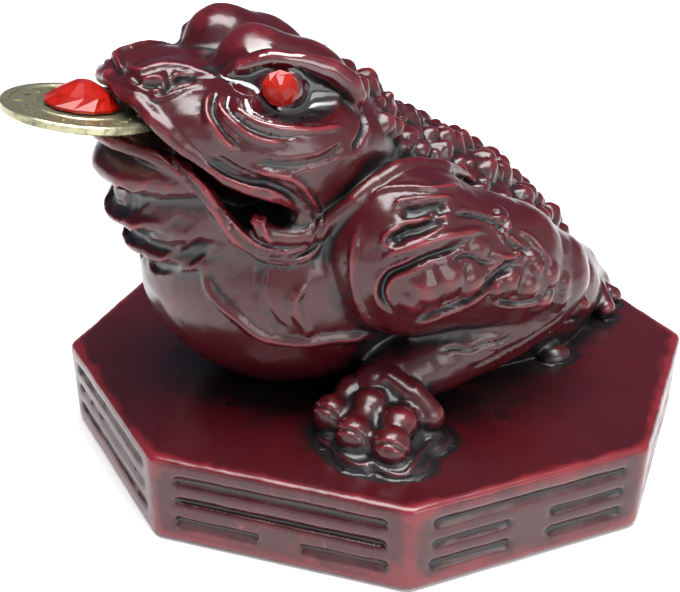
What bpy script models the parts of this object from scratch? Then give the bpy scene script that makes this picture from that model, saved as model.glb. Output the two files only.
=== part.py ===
"""A money toad: a three-legged toad cast in one with its eight-sided base, holding a coin in its mouth.

Sizes are in millimetres and become metres as each mesh is made. +Z is up, the toad faces -Y and its left
side is +X. The origin is the middle of the underside of the base. The toad is drawn on its left side and
mirrored, first as rounded masses that melt into each other, then as carved lines laid on that surface.
"""

import math

import bmesh
import bpy
import numpy as np
from mathutils import Euler, Matrix, Vector

MM = 0.001

# Base
BASE_ACROSS_CORNERS = 108.0
BASE_HEIGHT = 14.8
BASE_SHRINK = 0.8
BASE_ROUNDING = 1.1
BASE_SIDES = 8
GROOVE_LENGTH = 34.0
GROOVE_HEIGHT = 1.7
GROOVE_DEPTH = 0.9
GROOVE_GAP = 6.5
GROOVE_LEVELS = (11.3, 7.6, 3.9)

# Coin and stones
COIN_ACROSS = 23.7
COIN_THICKNESS = 1.3
COIN_RIM = 1.3
COIN_CENTRE = (0.0, -50.7, 63.2)
COIN_PITCH = -8.0
COIN_STONE_ACROSS = 11.4
COIN_STONE_HEIGHT = 3.4
EYE_STONE_ACROSS = 5.3
EYE_STONE_HEIGHT = 1.7
EYE_CENTRE = (15.9, -26.0, 67.7)
EYE_LOOKS = (0.90, -0.34, 0.27)
CLEARANCE = 0.3

# Fineness of the solid
FIRST_VOXEL = 1.0
VOXEL_STEP = 0.02
VOXEL = 0.75
TOAD_TRIANGLES = 8000
FAR = 1000.0


def unit(vector):
    return np.array(vector, float) / np.linalg.norm(vector)


class Ball:
    """An ellipsoid, by its centre, its three radii and its turn about X, Y and Z in degrees."""

    def __init__(self, centre, radii, turn=(0, 0, 0)):
        self.centre = np.array(centre, float)
        self.radii = np.array(radii, float)
        self.turn = Euler([math.radians(angle) for angle in turn])
        self.axes = np.array(self.turn.to_matrix())

    def distance(self, points):
        local = (points - self.centre) @ self.axes
        near = np.linalg.norm(local / self.radii, axis=1)
        slope = np.linalg.norm(local / self.radii**2, axis=1)
        return near * (near - 1) / np.maximum(slope, 1e-6)

    def rough(self, bm):
        place = Matrix.LocRotScale(Vector(self.centre * MM), self.turn, Vector(self.radii * MM))
        bmesh.ops.create_icosphere(bm, subdivisions=3, radius=1, matrix=place)


class Limb:
    """A chain of round-ended tapering rods, by its points and the radius at each."""

    def __init__(self, points, radii):
        self.points = [np.array(point, float) for point in points]
        self.radii = radii

    def distance(self, points):
        nearest = np.full(len(points), FAR)
        for start, end, first, last in zip(self.points, self.points[1:], self.radii, self.radii[1:]):
            along = end - start
            share = np.clip((points - start) @ along / (along @ along), 0, 1)
            off_axis = np.linalg.norm(points - start - share[:, None] * along, axis=1)
            nearest = np.minimum(nearest, off_axis - first - (last - first) * share)
        return nearest

    def rough(self, bm):
        for point, radius in zip(self.points, self.radii):
            place = Matrix.Translation(Vector(point * MM))
            bmesh.ops.create_icosphere(bm, subdivisions=2, radius=radius * MM, matrix=place)
        for start, end, first, last in zip(self.points, self.points[1:], self.radii, self.radii[1:]):
            along = Vector(end - start)
            turn = along.to_track_quat("Z", "Y").to_matrix().to_4x4()
            place = Matrix.Translation(Vector((start + end) / 2 * MM)) @ turn
            bmesh.ops.create_cone(
                bm, segments=16, cap_ends=True, radius1=first * MM, radius2=last * MM,
                depth=along.length * MM, matrix=place,
            )


class Gape:
    """A gap right across the toad, by its middle line (y, z) in the side view and its half heights."""

    half_width = 32.0

    def __init__(self, middle, half_heights):
        self.middle = middle
        self.half_heights = half_heights
        self.section = Limb([(0, y, z) for y, z in middle], half_heights)

    def distance(self, points):
        return self.section.distance(points * np.array([0.0, 1.0, 1.0]))

    def rough(self, bm):
        outline = [(y, z + half) for (y, z), half in zip(self.middle, self.half_heights)]
        outline += [(y, z - half) for (y, z), half in zip(self.middle[::-1], self.half_heights[::-1])]
        corners = [bm.verts.new((-self.half_width * MM, y * MM, z * MM)) for y, z in outline]
        side = bm.faces.new(corners)
        swept = bmesh.ops.extrude_face_region(bm, geom=[side])
        across = Vector((2 * self.half_width * MM, 0, 0))
        moved = [part for part in swept["geom"] if isinstance(part, bmesh.types.BMVert)]
        bmesh.ops.translate(bm, verts=moved, vec=across)


def melted(a, b, blend):
    """The smaller of two distances, with the crease between them filled over the blend width."""
    share = np.clip(0.5 + 0.5 * (b - a) / blend, 0, 1)
    return b + (a - b) * share - blend * share * (1 - share)


class Form:
    """Masses added and cut away in order on the +X side and mirrored, as one signed distance."""

    def __init__(self):
        self.steps = []

    def add(self, blend, *shapes):
        self.steps += [("UNION", blend, shape) for shape in shapes]

    def cut(self, blend, *shapes):
        self.steps += [("DIFFERENCE", blend, shape) for shape in shapes]

    def distance(self, points):
        folded = np.column_stack([np.abs(points[:, 0]), points[:, 1:]])
        total = np.full(len(points), FAR)
        for action, blend, shape in self.steps:
            near = shape.distance(folded)
            total = melted(total, near, blend) if action == "UNION" else -melted(-total, near, blend)
        return total

    def slope(self, points, here, step=0.05):
        """The direction in which the distance grows fastest, from the distance here."""
        ahead = [self.distance(points + shift) - here for shift in np.eye(3) * step]
        slope = np.column_stack(ahead)
        return slope / np.maximum(np.linalg.norm(slope, axis=1), 1e-9)[:, None]

    def settle(self, points, rounds=6, most=0.8):
        """Moves points that lie near the surface onto it."""
        for _ in range(rounds):
            here = self.distance(points)
            points = points - np.clip(here, -most, most)[:, None] * self.slope(points, here)
        return points

    def met_by(self, starts, heading, rounds=60):
        """Where straight rays from outside meet the surface."""
        points = starts.copy()
        for _ in range(rounds):
            points += self.distance(points)[:, None] * heading * 0.9
        return points


# The lips from the front of the mouth to the jaw corner, and the cord of skin from there over the shoulder
UPPER_LIP = (
    (0, -46.2, 67.2), (4.5, -45.8, 66.4), (8.2, -44.7, 65.6), (11, -43.5, 64), (13.4, -42, 62.3),
    (14.9, -40.4, 60.6), (16.2, -38, 58.6), (17.7, -35.3, 56.3), (19.6, -32.7, 55), (20.9, -29.7, 54),
    (21, -27.3, 52.4),
)
LOWER_LIP = (
    (0, -48.4, 59.2), (4.5, -47.2, 58.8), (9, -43.8, 57.9), (13.4, -40.2, 56.4), (15.3, -37.8, 53.8),
    (16.2, -35.6, 50), (17.3, -33.4, 46.8), (18.6, -30, 44.6), (19.9, -26.9, 44), (20.4, -24.6, 45),
)
LIP_RADIUS = 1.2
ROPE = (
    (18.6, -31.2, 49.2), (18.8, -30, 47.6), (19.4, -28.4, 46.8), (20.2, -25.4, 46.3), (20.8, -22, 47),
    (21.4, -19.8, 48.9), (22.6, -17, 51.4), (22.4, -13.4, 53.6), (21.4, -9.6, 54.7), (20.6, -5, 54.4),
    (19, -0.5, 52.8), (16.4, 4, 50.6), (14, 8.6, 48),
)
ROPE_RADIUS = 1.5


def toad_body():
    """Torso, belly, throat, head, brows and the three legs."""
    form = Form()
    form.add(1.0, Ball((0, 6, 31), (22, 39, 20), (-35, 0, 0)))
    form.add(5.0, Ball((0, -17.5, 35), (24, 24.5, 21)))

    # Throat, with three hanging folds
    form.add(3.0, Ball((0, -21, 48), (20.5, 25, 12)))
    form.add(1.5, Ball((0, -29, 55), (17.5, 20.3, 5.6), (4, 0, 0)))
    form.add(1.2, Ball((0, -28, 47.3), (17, 19.6, 4), (4, 0, 0)))
    form.add(1.2, Ball((0, -27, 41.4), (16.5, 18, 4), (2, 0, 0)))

    # Skull, upper jaw, nostril, cheek and brow
    form.add(3.0, Ball((0, -20, 56), (20.5, 15, 12)))
    form.add(3.0, Ball((0, -24, 59), (22, 23.5, 9.5), (-12, 0, 0)))
    form.add(2.0, Ball((3.6, -38.7, 65.5), (5.8, 7.8, 4.5), (-4, 0, 10)))
    form.add(3.0, Ball((14.5, -23.5, 56), (7.5, 11, 8.5), (0, 0, 12)))
    form.add(1.5, Ball((6.4, -26, 67.6), (6.4, 6.3, 7.2)))
    form.add(2.5, Ball((7.6, -20.4, 65), (7.6, 9.6, 7.6), (-14, 0, 0)))

    # Front leg: shoulder, upper leg back to the knee, lower leg forward to the ankle
    form.add(1.5, Ball((22, -8, 42), (11.5, 13, 13)))
    form.add(2.0, Limb([(22, -6, 41), (24.5, 8, 38), (24.8, 15.8, 34.6)], (12.5, 10, 7.6)))
    shin = [(24.5, 13, 31), (25.2, 4, 26.5), (25.2, -4, 23.6), (24.5, -13, 20)]
    form.add(1.5, Limb(shin, (7.4, 6.3, 5.6, 4.6)))

    # Rump and the single hind leg
    form.add(3.0, Ball((0, 34, 20), (12, 9, 9)))
    form.add(2.0, Limb([(0, 40, 20.5), (0, 44, 17)], (5, 4)))
    return form


def mouth(form):
    """The gape from the snout to the jaw corners, its filled middle, lips, the coin's seat and the tongue."""
    middle = [(-60, 64), (-48, 64), (-40, 59), (-36.4, 54.4), (-33.6, 51.4), (-30, 49.8), (-26.5, 49.4)]
    form.cut(0.8, Gape(middle, [5, 4.2, 1.6, 2.1, 2.8, 2.8, 1.2]))
    form.add(0.8, Ball((0, -17, 53), (12.5, 20, 12)))
    for line in (UPPER_LIP, LOWER_LIP):
        form.add(0.7, Limb(line, [LIP_RADIUS] * (len(line) - 1) + [0.5 * LIP_RADIUS]))
    form.cut(0.5, Ball(COIN_CENTRE, (13.2, 13.2, 2.1), (COIN_PITCH, 0, 0)))
    form.add(0.8, Ball((0, -37, 58.2), (10, 9, 2.4)))


def rope(form):
    """The smooth cord of skin from the jaw corner over the shoulder."""
    form.add(0.5, Limb(ROPE, [0.9] + [ROPE_RADIUS] * (len(ROPE) - 3) + [1.1, 0.6]))


def eyes(form):
    """A hollow under the brow, the eyeball in it, the arched lid over it and the seat of the stone."""
    looks = unit(EYE_LOOKS)
    centre = np.array(EYE_CENTRE)
    turn = Vector(looks).to_track_quat("X", "Z").to_euler()
    turn = [math.degrees(angle) for angle in turn]
    form.cut(1.0, Ball((18.8, -23.2, 66.9), (5, 9, 3.9), (-6, 0, 0)))
    form.add(0.8, Ball(centre - 4.6 * looks, (4.4, 4.4, 4.4)))
    lid = [(8.5, -31.8, 68), (11, -30, 70.1), (13, -26, 71.4), (14.2, -22, 71), (15, -17.6, 69.2),
           (15.4, -14.6, 67), (15.5, -13.6, 65), (15.2, -14, 62.4)]
    form.add(1.0, Limb(lid, (0.7, 1.0, 1.2, 1.4, 1.7, 1.8, 1.6, 1.0)))
    seat = EYE_STONE_ACROSS / 2 + CLEARANCE
    form.cut(0.3, Ball(centre, (1.5, seat + 0.25, seat + 0.25), turn))


def feet(form):
    """Both front feet on their webs, and the hind foot."""
    for x, y, radius in ((28, -19.5, 5.6), (34, -20, 5.2), (37.6, -16, 4.8), (33, -10.5, 5.4)):
        form.add(0.8, Ball((x, y, BASE_HEIGHT), (radius, radius, 1.5)))
    form.add(1.5, Ball((29, -15.5, 16.5), (8, 6.5, 4)))
    toes = (
        ((23.6, -17, 19.8), (25.8, -21.8, 18)),
        ((28.9, -16.6, 20), (32.2, -21, 17.7)),
        ((34.2, -14.6, 19.4), (37.4, -17.5, 17.5)),
    )
    for knuckle, tip in toes:
        form.add(0.5, Limb([knuckle, tip], (2.2, 2.4)))
        form.add(0.3, Ball(knuckle, (2.9, 2.9, 2.7)), Ball(tip, (2.9, 3, 3.2)))
    form.add(0.7, Limb([(27.4, -12.4, 23), (30.6, -10.6, 21.2), (33.6, -9, 19)], (1.7, 2.4, 2.3)))
    for tip in ((9.5, 41, 16.4), (5.2, 45.6, 16.4), (0, 47, 16.4)):
        form.add(0.7, Limb([(tip[0] * 0.4, 42, 18.5), tip], (2.2, 1.9)))
    form.add(0.7, Ball((18.5, 24, BASE_HEIGHT), (2.8, 3.2, 2.4)))


def whole_toad():
    form = toad_body()
    mouth(form)
    rope(form)
    eyes(form)
    feet(form)
    return form


SIDE, TOP = "side", "top"

# Carved lines: height (below zero for a groove), half width, and the points (y, z) in the side view that
# the line runs through.
HEAD_LINES = (
    (0.9, 1.2, ((-35.5, 59.5), (-31, 57.6), (-27, 55.8), (-24, 53), (-22.4, 50.2))),
    (0.8, 0.9, ((-38.8, 50.4), (-36, 46.4), (-33, 43.6), (-29, 42), (-25, 41.8), (-22, 43.4), (-20.6, 46.4))),
    (-0.9, 1.2, ((-36.4, 64.8), (-34.2, 62.8), (-31.8, 61.7), (-27, 61.2), (-21, 61.3), (-17, 62.4))),
    (-0.8, 1.0, ((-37.4, 67), (-37.4, 63.8), (-35.2, 61), (-32, 59.6))),
    (0.8, 1.2, ((-39, 66.5), (-39, 63), (-36.6, 60.4), (-32, 58.6), (-26, 58.2), (-19, 57))),
    (-1.1, 1.4, ((-40, 68), (-38.2, 68), (-36.4, 68.6))),
    (0.7, 1.0, ((-45.6, 68.6), (-42, 69.6), (-38.8, 70), (-35, 68.4))),
    (-0.7, 0.9, ((-44.2, 67.2), (-41.6, 67.2), (-40.2, 69.2))),
)
FLANK_LINES = (
    (1.1, 1.6, ((-37.8, 41.3), (-36.9, 38.5), (-35.3, 35.4), (-31.4, 31.6), (-26.6, 29.6), (-20, 29.6))),
    (0.9, 1.4, ((-24.4, 39.8), (-26.2, 36.6), (-25.6, 33.6), (-24.2, 30.8))),
)
LEG_LINES = (
    (0.8, 1.3, ((-17.6, 49.4), (-18.6, 45.6), (-18.6, 41.6), (-17.8, 37), (-15.4, 33.6))),
    (-1.2, 1.2, ((-13.2, 51.2), (-10.4, 52), (-5.3, 51.6), (-1.3, 50.4))),
    (-1.3, 1.4, ((-15.2, 48), (-12.6, 49), (-9, 49.6), (-5, 50))),
    (1.0, 1.3, ((-16.6, 47), (-15, 45.8), (-12, 47.2), (-5.2, 47.8), (1.6, 47.6))),
    (-1.4, 1.5, ((-16, 39.6), (-15.8, 42.2), (-12.4, 44.8), (-7.4, 45.8), (0, 46.4))),
    (-1.2, 1.5, ((-13, 35.4), (-7.4, 36.6), (-1, 40.8), (4, 42.2), (9, 42.4))),
    (0.9, 1.6, ((-12, 41.2), (-8, 42.6), (-3.4, 42.8), (1, 44.6))),
    (0.8, 1.6, ((3.5, 47.6), (9, 45.4), (14, 42.4), (19, 39))),
)
CARVED_LINES = HEAD_LINES + FLANK_LINES + LEG_LINES

# Warts of the back: rows from the nape to the rump, the distance between them and their greatest size
WART_ROWS = 9
WARTS_TO_A_SIDE = 3
WART_RADIUS = 3.3
WART_HEIGHT = 1.5
BACK_START = -6.0
BACK_END = 33.0


def smooth_run(points, spacing=0.8):
    """Evenly close points on a smooth curve through the given ones."""
    points = [np.array(point, float) for point in points]
    ends = [2 * points[0] - points[1]] + points + [2 * points[-1] - points[-2]]
    run = []
    for before, start, end, after in zip(ends, ends[1:], ends[2:], ends[3:]):
        count = max(2, round(np.linalg.norm(end - start) / spacing))
        for t in np.arange(count) / count:
            bend = 2 * start + (end - before) * t
            bend = bend + (2 * before - 5 * start + 4 * end - after) * t**2
            run.append((bend + (3 * start - before - 3 * end + after) * t**3) / 2)
    return np.array(run + [points[-1]])


def laid_on(form, view, flat):
    """Points of a side or top view, brought straight in to the toad's left side or its top."""
    if view == SIDE:
        starts = np.column_stack([np.full(len(flat), 48.0), flat])
        return form.met_by(starts, np.array([-1.0, 0, 0]))
    starts = np.column_stack([flat, np.full(len(flat), 82.0)])
    return form.met_by(starts, np.array([0, 0, -1.0]))


def wart_places():
    """Centre (x, y) and size of each wart, in rows that are set off from each other."""
    places = []
    for row in range(WART_ROWS):
        y = BACK_START + (BACK_END - BACK_START) * row / (WART_ROWS - 1)
        shift = 0.5 * (row % 2)
        for place in range(WARTS_TO_A_SIDE):
            x = 5.2 * (place + shift) + 0.9 * math.sin(2.3 * row + 1.7 * place)
            size = 0.78 + 0.22 * math.sin(3.1 * row + 2.2 * place)
            places.append((max(x, 0), y + 1.2 * math.cos(1.9 * row + 2.9 * place), size))
    return places


def near_run(points, run, reach):
    """Which points lie within reach of a run of points, and how far from it they are."""
    low, high = run.min(axis=0) - reach, run.max(axis=0) + reach
    inside = np.flatnonzero(((points > low) & (points < high)).all(axis=1))
    chosen = points[inside]
    nearest = np.full(len(chosen), FAR)
    share = np.zeros(len(chosen))
    for index, (start, end) in enumerate(zip(run, run[1:])):
        along = end - start
        t = np.clip((chosen - start) @ along / max(along @ along, 1e-9), 0, 1)
        gap = np.linalg.norm(chosen - start - t[:, None] * along, axis=1)
        closer = gap < nearest
        nearest = np.where(closer, gap, nearest)
        share = np.where(closer, (index + t) / (len(run) - 1), share)
    return inside, nearest, share


def relief(form, points):
    """How far each point of the surface is raised, or sunk where below zero, by lines and warts."""
    folded = np.column_stack([np.abs(points[:, 0]), points[:, 1:]])
    raised = np.zeros(len(points))
    sunk = np.zeros(len(points))
    drawn = [smooth_run(line) for _, _, line in CARVED_LINES]
    laid = laid_on(form, SIDE, np.concatenate(drawn))
    runs = np.split(laid, np.cumsum([len(run) for run in drawn])[:-1])
    for (height, half_width, _), run in zip(CARVED_LINES, runs):
        inside, gap, share = near_run(folded, run, half_width)
        ends = np.clip(np.minimum(share, 1 - share) * 8, 0, 1)
        rise = height * np.clip(1 - (gap / half_width) ** 2, 0, 1) ** 2 * (0.35 + 0.65 * ends)
        raised[inside] = np.maximum(raised[inside], rise)
        sunk[inside] = np.minimum(sunk[inside], rise)
    warts = np.array(wart_places())
    for top, size in zip(laid_on(form, TOP, warts[:, :2]), warts[:, 2]):
        gap = np.linalg.norm(folded - top, axis=1) / (WART_RADIUS * size)
        raised = np.maximum(raised, WART_HEIGHT * size * np.clip(1 - gap**2, 0, 1) ** 2)
    return raised + sunk


def material(name, colour, roughness, metallic=0.0, transmission=0.0):
    made = bpy.data.materials.new(name)
    made.use_nodes = True
    shader = made.node_tree.nodes["Principled BSDF"]
    shader.inputs["Base Color"].default_value = (*colour, 1)
    shader.inputs["Roughness"].default_value = roughness
    shader.inputs["Metallic"].default_value = metallic
    shader.inputs["Transmission Weight"].default_value = transmission
    return made


def new_object(name, bm, finish=None):
    bmesh.ops.recalc_face_normals(bm, faces=bm.faces)
    mesh = bpy.data.meshes.new(name)
    bm.to_mesh(mesh)
    bm.free()
    made = bpy.data.objects.new(name, mesh)
    bpy.context.scene.collection.objects.link(made)
    if finish:
        mesh.materials.append(finish)
    return made


def as_helper(made):
    """Marks an object as a cutter or a guide."""
    made.hide_render = True
    made.display_type = "WIRE"
    return made


def add_boolean(target, operation, other):
    modifier = target.modifiers.new(other.name, "BOOLEAN")
    modifier.operation = operation
    modifier.object = other
    modifier.solver = "EXACT"


def add_voxels(target, size):
    modifier = target.modifiers.new("voxels", "REMESH")
    modifier.mode = "VOXEL"
    modifier.voxel_size = size * MM


def rough_toad(form, voxel):
    """The masses as one close-meshed body near the true surface.

    Each group of masses has voxels of its own size, so that no two groups share a face.
    """
    groups = []
    for action, _, shape in form.steps:
        if not groups or groups[-1][0] != action:
            groups.append((action, []))
        groups[-1][1].append(shape)
    helpers = []
    for number, (_, shapes) in enumerate(groups):
        bm = bmesh.new()
        for shape in shapes:
            shape.rough(bm)
        helper = as_helper(new_object(f"masses_{number}", bm))
        helper.modifiers.new("mirrored", "MIRROR").use_mirror_merge = False
        add_voxels(helper, FIRST_VOXEL + number * VOXEL_STEP)
        helpers.append(helper)
    for (action, _), helper in zip(groups[1:], helpers[1:]):
        add_boolean(helpers[0], action, helper)
    add_voxels(helpers[0], voxel)
    return helpers[0]


def evaluated_mesh(made):
    graph = bpy.context.evaluated_depsgraph_get()
    return bpy.data.meshes.new_from_object(made.evaluated_get(graph), depsgraph=graph)


def mesh_points(mesh):
    points = np.empty(len(mesh.vertices) * 3)
    mesh.vertices.foreach_get("co", points)
    return points.reshape(-1, 3) / MM


def neighbours(mesh):
    """The two ends of each edge, each way round."""
    edges = np.empty(len(mesh.edges) * 2, np.int32)
    mesh.edges.foreach_get("vertices", edges)
    edges = edges.reshape(-1, 2)
    return np.concatenate([edges[:, 0], edges[:, 1]]), np.concatenate([edges[:, 1], edges[:, 0]])


def averaged(points, ends, rounds):
    """Each point moved to the mean of its neighbours and itself, several times over."""
    here, there = ends
    number = np.bincount(here, minlength=len(points)) + 1.0
    for _ in range(rounds):
        near = [np.bincount(here, points[there, axis], len(points)) for axis in range(3)]
        points = (points + np.column_stack(near)) / number[:, None]
    return points


def spread(form, mesh, points):
    """Brings the mesh's points onto the form, evenly spread over it."""
    ends = neighbours(mesh)
    for _ in range(3):
        points = form.settle(averaged(points, ends, 1), rounds=2)
    return points


def sculpted_toad():
    """The rough body with each point brought onto the form and then raised or sunk by the carving."""
    form = whole_toad()
    mesh = evaluated_mesh(rough_toad(form, VOXEL))
    points = spread(form, mesh, mesh_points(mesh))
    outward = form.slope(points, form.distance(points))
    points = points + relief(form, points)[:, None] * outward
    mesh.vertices.foreach_set("co", (points * MM).ravel())
    mesh.update()
    toad = as_helper(bpy.data.objects.new("toad_masses", mesh))
    bpy.context.scene.collection.objects.link(toad)
    thinned = toad.modifiers.new("thinned", "DECIMATE")
    mesh.calc_loop_triangles()
    thinned.ratio = TOAD_TRIANGLES / len(mesh.loop_triangles)
    return toad


# The eight trigrams by side, from the front round by the toad's left. Each has three lines from the top
# down, 1 for a whole line and 0 for a broken one.
TRIGRAMS = ((1, 1, 1), (1, 1, 0), (1, 0, 0), (0, 1, 0), (0, 0, 0), (0, 0, 1), (1, 0, 1), (0, 1, 1))


def base_block():
    bm = bmesh.new()
    half_turn = Matrix.Rotation(math.pi / BASE_SIDES, 4, "Z")
    lift = Matrix.Translation((0, 0, BASE_HEIGHT / 2 * MM))
    corner = BASE_ACROSS_CORNERS / 2 * MM
    bmesh.ops.create_cone(
        bm, segments=BASE_SIDES, cap_ends=True, radius1=corner - BASE_SHRINK * MM, radius2=corner,
        depth=BASE_HEIGHT * MM, matrix=lift @ half_turn,
    )
    bmesh.ops.bevel(
        bm, geom=bm.edges[:], offset=BASE_ROUNDING * MM, segments=2, profile=0.5, affect="EDGES",
        material=-1,
    )
    return bm


def groove_bars(side):
    """The bars that cut one side's trigram, as boxes with their outer half outside the block."""
    angle = -math.pi / 2 + side * 2 * math.pi / BASE_SIDES
    flat = BASE_ACROSS_CORNERS / 2 * math.cos(math.pi / BASE_SIDES)
    bm = bmesh.new()
    for whole, level in zip(TRIGRAMS[side], GROOVE_LEVELS):
        inset = BASE_SHRINK * (1 - level / BASE_HEIGHT)
        half = GROOVE_LENGTH / 2
        runs = [(-half, half)] if whole else [(-half, -GROOVE_GAP / 2), (GROOVE_GAP / 2, half)]
        for start, end in runs:
            size = Matrix.Diagonal((2 * GROOVE_DEPTH * MM, (end - start) * MM, GROOVE_HEIGHT * MM, 1))
            place = Matrix.Translation(((flat - inset) * MM, (start + end) / 2 * MM, level * MM))
            bmesh.ops.create_cube(bm, size=1, matrix=Matrix.Rotation(angle, 4, "Z") @ place @ size)
    return bm


def toad_casting(resin):
    """The toad and its base in one piece."""
    casting = new_object("toad_casting", base_block(), resin)
    for side in range(BASE_SIDES):
        add_boolean(casting, "DIFFERENCE", as_helper(new_object(f"trigram_{side}", groove_bars(side))))
    add_boolean(casting, "UNION", sculpted_toad())
    return casting


def turned_profile(bm, profile, steps):
    """A closed solid of revolution about Z from (radius, height) points that start and end on the axis."""
    line = [bm.verts.new((radius * MM, 0, height * MM)) for radius, height in profile]
    edges = [bm.edges.new(pair) for pair in zip(line, line[1:])]
    bmesh.ops.spin(
        bm, geom=line + edges, cent=(0, 0, 0), axis=(0, 0, 1), dvec=(0, 0, 0),
        angle=2 * math.pi, steps=steps, use_merge=True, use_duplicate=False,
    )
    bmesh.ops.remove_doubles(bm, verts=bm.verts, dist=1e-6)


def coin(brass):
    """A round coin with a raised rim on both faces."""
    outer = COIN_ACROSS / 2
    half = COIN_THICKNESS / 2
    field = half - 0.25
    edge = 0.15
    profile = (
        (0, field), (outer - COIN_RIM, field), (outer - COIN_RIM, half), (outer - edge, half),
        (outer, half - edge), (outer, edge - half), (outer - edge, -half), (outer - COIN_RIM, -half),
        (outer - COIN_RIM, -field), (0, -field),
    )
    bm = bmesh.new()
    turned_profile(bm, profile, 40)
    made = new_object("coin", bm, brass)
    made.location = Vector(COIN_CENTRE) * MM
    made.rotation_euler = (math.radians(COIN_PITCH), 0, 0)
    return made


def stone(name, across, height, facets, finish):
    """A cut stone standing on its girdle: facets rising in two rows to a small flat top."""
    bm = bmesh.new()
    half = across / 2
    rows = ((half, 0), (half, 0.12 * height), (0.72 * half, 0.55 * height), (0.24 * half, height))
    rings = []
    for row, (radius, level) in enumerate(rows):
        turn = Matrix.Rotation(math.pi / facets * (row // 2), 4, "Z")
        place = Matrix.Translation((0, 0, level * MM)) @ turn
        ring = bmesh.ops.create_circle(bm, segments=facets, radius=radius * MM, matrix=place)["verts"]
        rings.append([edge for edge in bm.edges if all(vert in ring for vert in edge.verts)])
    for lower, upper in zip(rings, rings[1:]):
        bmesh.ops.bridge_loops(bm, edges=lower + upper)
    bmesh.ops.holes_fill(bm, edges=rings[0] + rings[-1], sides=facets)
    bmesh.ops.triangulate(bm, faces=bm.faces)
    return new_object(name, bm, finish)


def coin_stone(glass):
    made = stone("coin_gem", COIN_STONE_ACROSS, COIN_STONE_HEIGHT, 12, glass)
    pitch = Matrix.Rotation(math.radians(COIN_PITCH), 4, "X")
    seat = pitch @ Vector((0, 0, COIN_THICKNESS / 2 - 0.25 + CLEARANCE))
    made.matrix_world = Matrix.Translation((Vector(COIN_CENTRE) + seat) * MM) @ pitch


def eye_stone(name, side, glass):
    made = stone(name, EYE_STONE_ACROSS, EYE_STONE_HEIGHT, 10, glass)
    looks = Vector((side * EYE_LOOKS[0], *EYE_LOOKS[1:])).normalized()
    centre = Vector((side * EYE_CENTRE[0], *EYE_CENTRE[1:]))
    turn = looks.to_track_quat("Z", "Y").to_matrix().to_4x4()
    made.matrix_world = Matrix.Translation(centre * MM) @ turn


def main():
    for old in list(bpy.data.objects):
        bpy.data.objects.remove(old)
    resin = material("cherry resin", (0.12, 0.02, 0.025), 0.3)
    brass = material("aged brass", (0.42, 0.35, 0.18), 0.4, metallic=0.8)
    glass = material("red glass", (0.75, 0.01, 0.01), 0.05, transmission=0.6)
    toad_casting(resin)
    coin(brass)
    coin_stone(glass)
    eye_stone("eye_gem_left", 1, glass)
    eye_stone("eye_gem_right", -1, glass)


main()
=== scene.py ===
"""The looks of the money toad: a glossy cherry-red casting with black left in its carving and painted shade
under and between its parts, a brass coin and red cut stones. Sizes are in millimetres and become metres as
each mesh is made."""

import math

import bmesh
import bpy
import numpy as np
from mathutils import Euler, Matrix, Vector, noise


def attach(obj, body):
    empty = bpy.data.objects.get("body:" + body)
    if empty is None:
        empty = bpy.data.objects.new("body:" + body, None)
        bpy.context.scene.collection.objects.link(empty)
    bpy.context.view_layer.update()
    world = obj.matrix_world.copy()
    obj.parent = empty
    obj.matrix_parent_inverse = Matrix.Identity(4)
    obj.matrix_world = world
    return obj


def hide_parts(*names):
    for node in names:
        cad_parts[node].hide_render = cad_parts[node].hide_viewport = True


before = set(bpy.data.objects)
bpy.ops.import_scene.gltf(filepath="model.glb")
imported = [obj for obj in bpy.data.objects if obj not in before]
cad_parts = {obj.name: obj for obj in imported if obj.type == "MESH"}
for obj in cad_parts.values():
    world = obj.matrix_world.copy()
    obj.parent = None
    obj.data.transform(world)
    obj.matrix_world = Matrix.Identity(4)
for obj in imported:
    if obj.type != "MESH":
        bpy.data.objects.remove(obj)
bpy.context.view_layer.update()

MM = 0.001
FAR = 1000.0

# Base
BASE_ACROSS_CORNERS = 108.0
BASE_HEIGHT = 14.8
BASE_SHRINK = 0.8
BASE_ROUNDING = 1.1
BASE_SIDES = 8
GROOVE_LENGTH = 34.0
GROOVE_HEIGHT = 1.7
GROOVE_DEPTH = 0.9
GROOVE_GAP = 6.5
GROOVE_LEVELS = (11.3, 7.6, 3.9)

# Coin and stones
COIN_ACROSS = 23.7
COIN_THICKNESS = 1.3
COIN_RIM = 1.3
COIN_RING = 6.9
COIN_MARKS = 28
COIN_MARKS_OUT = 8.9
COIN_CENTRE = (0.0, -50.7, 63.2)
COIN_PITCH = -8.0
COIN_STONE_ACROSS = 11.4
COIN_STONE_HEIGHT = 3.4
EYE_STONE_ACROSS = 5.3
EYE_STONE_HEIGHT = 1.7
EYE_CENTRE = (15.9, -26.0, 67.7)
EYE_LOOKS = (0.90, -0.34, 0.27)
CLEARANCE = 0.3

# Fineness of the casting's mesh
FIRST_VOXEL = 1.0
VOXEL_STEP = 0.02
VOXEL = 0.42
CASTING_TRIANGLES = 185000

# Camera, fitted to the view that shows the toad's left front
CAMERA_PLACE = (193.97, -104.55, 127.48)
CAMERA_RIGHT = (0.43882, 0.89843, 0.01629)
CAMERA_UP = (-0.39245, 0.17531, 0.90291)
LENS = 74.47
SENSOR = 36.0
PICTURE_WIDTH = 680
PICTURE_HEIGHT = 592
CLEAR_OF_TOAD = 110.0

# Studio light: the colours of the room, and each lamp's place, size and power
PALE_WALL = (0.82, 0.85, 0.87, 1)
DARK_WALL = (0.11, 0.11, 0.15, 1)
PALE_SIDE = (0.93, 0.30, 0.15)
LAMPS = (
    ("top lamp", (0.10, -0.05, 1.2), (1.0, 0.8), 34),
    ("side lamp", (0.95, 0.15, 0.45), (0.7, 0.5), 5),
    ("front lamp", (0.35, -0.95, 0.30), (0.5, 0.4), 1),
)


def unit(vector):
    return np.array(vector, float) / np.linalg.norm(vector)


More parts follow.
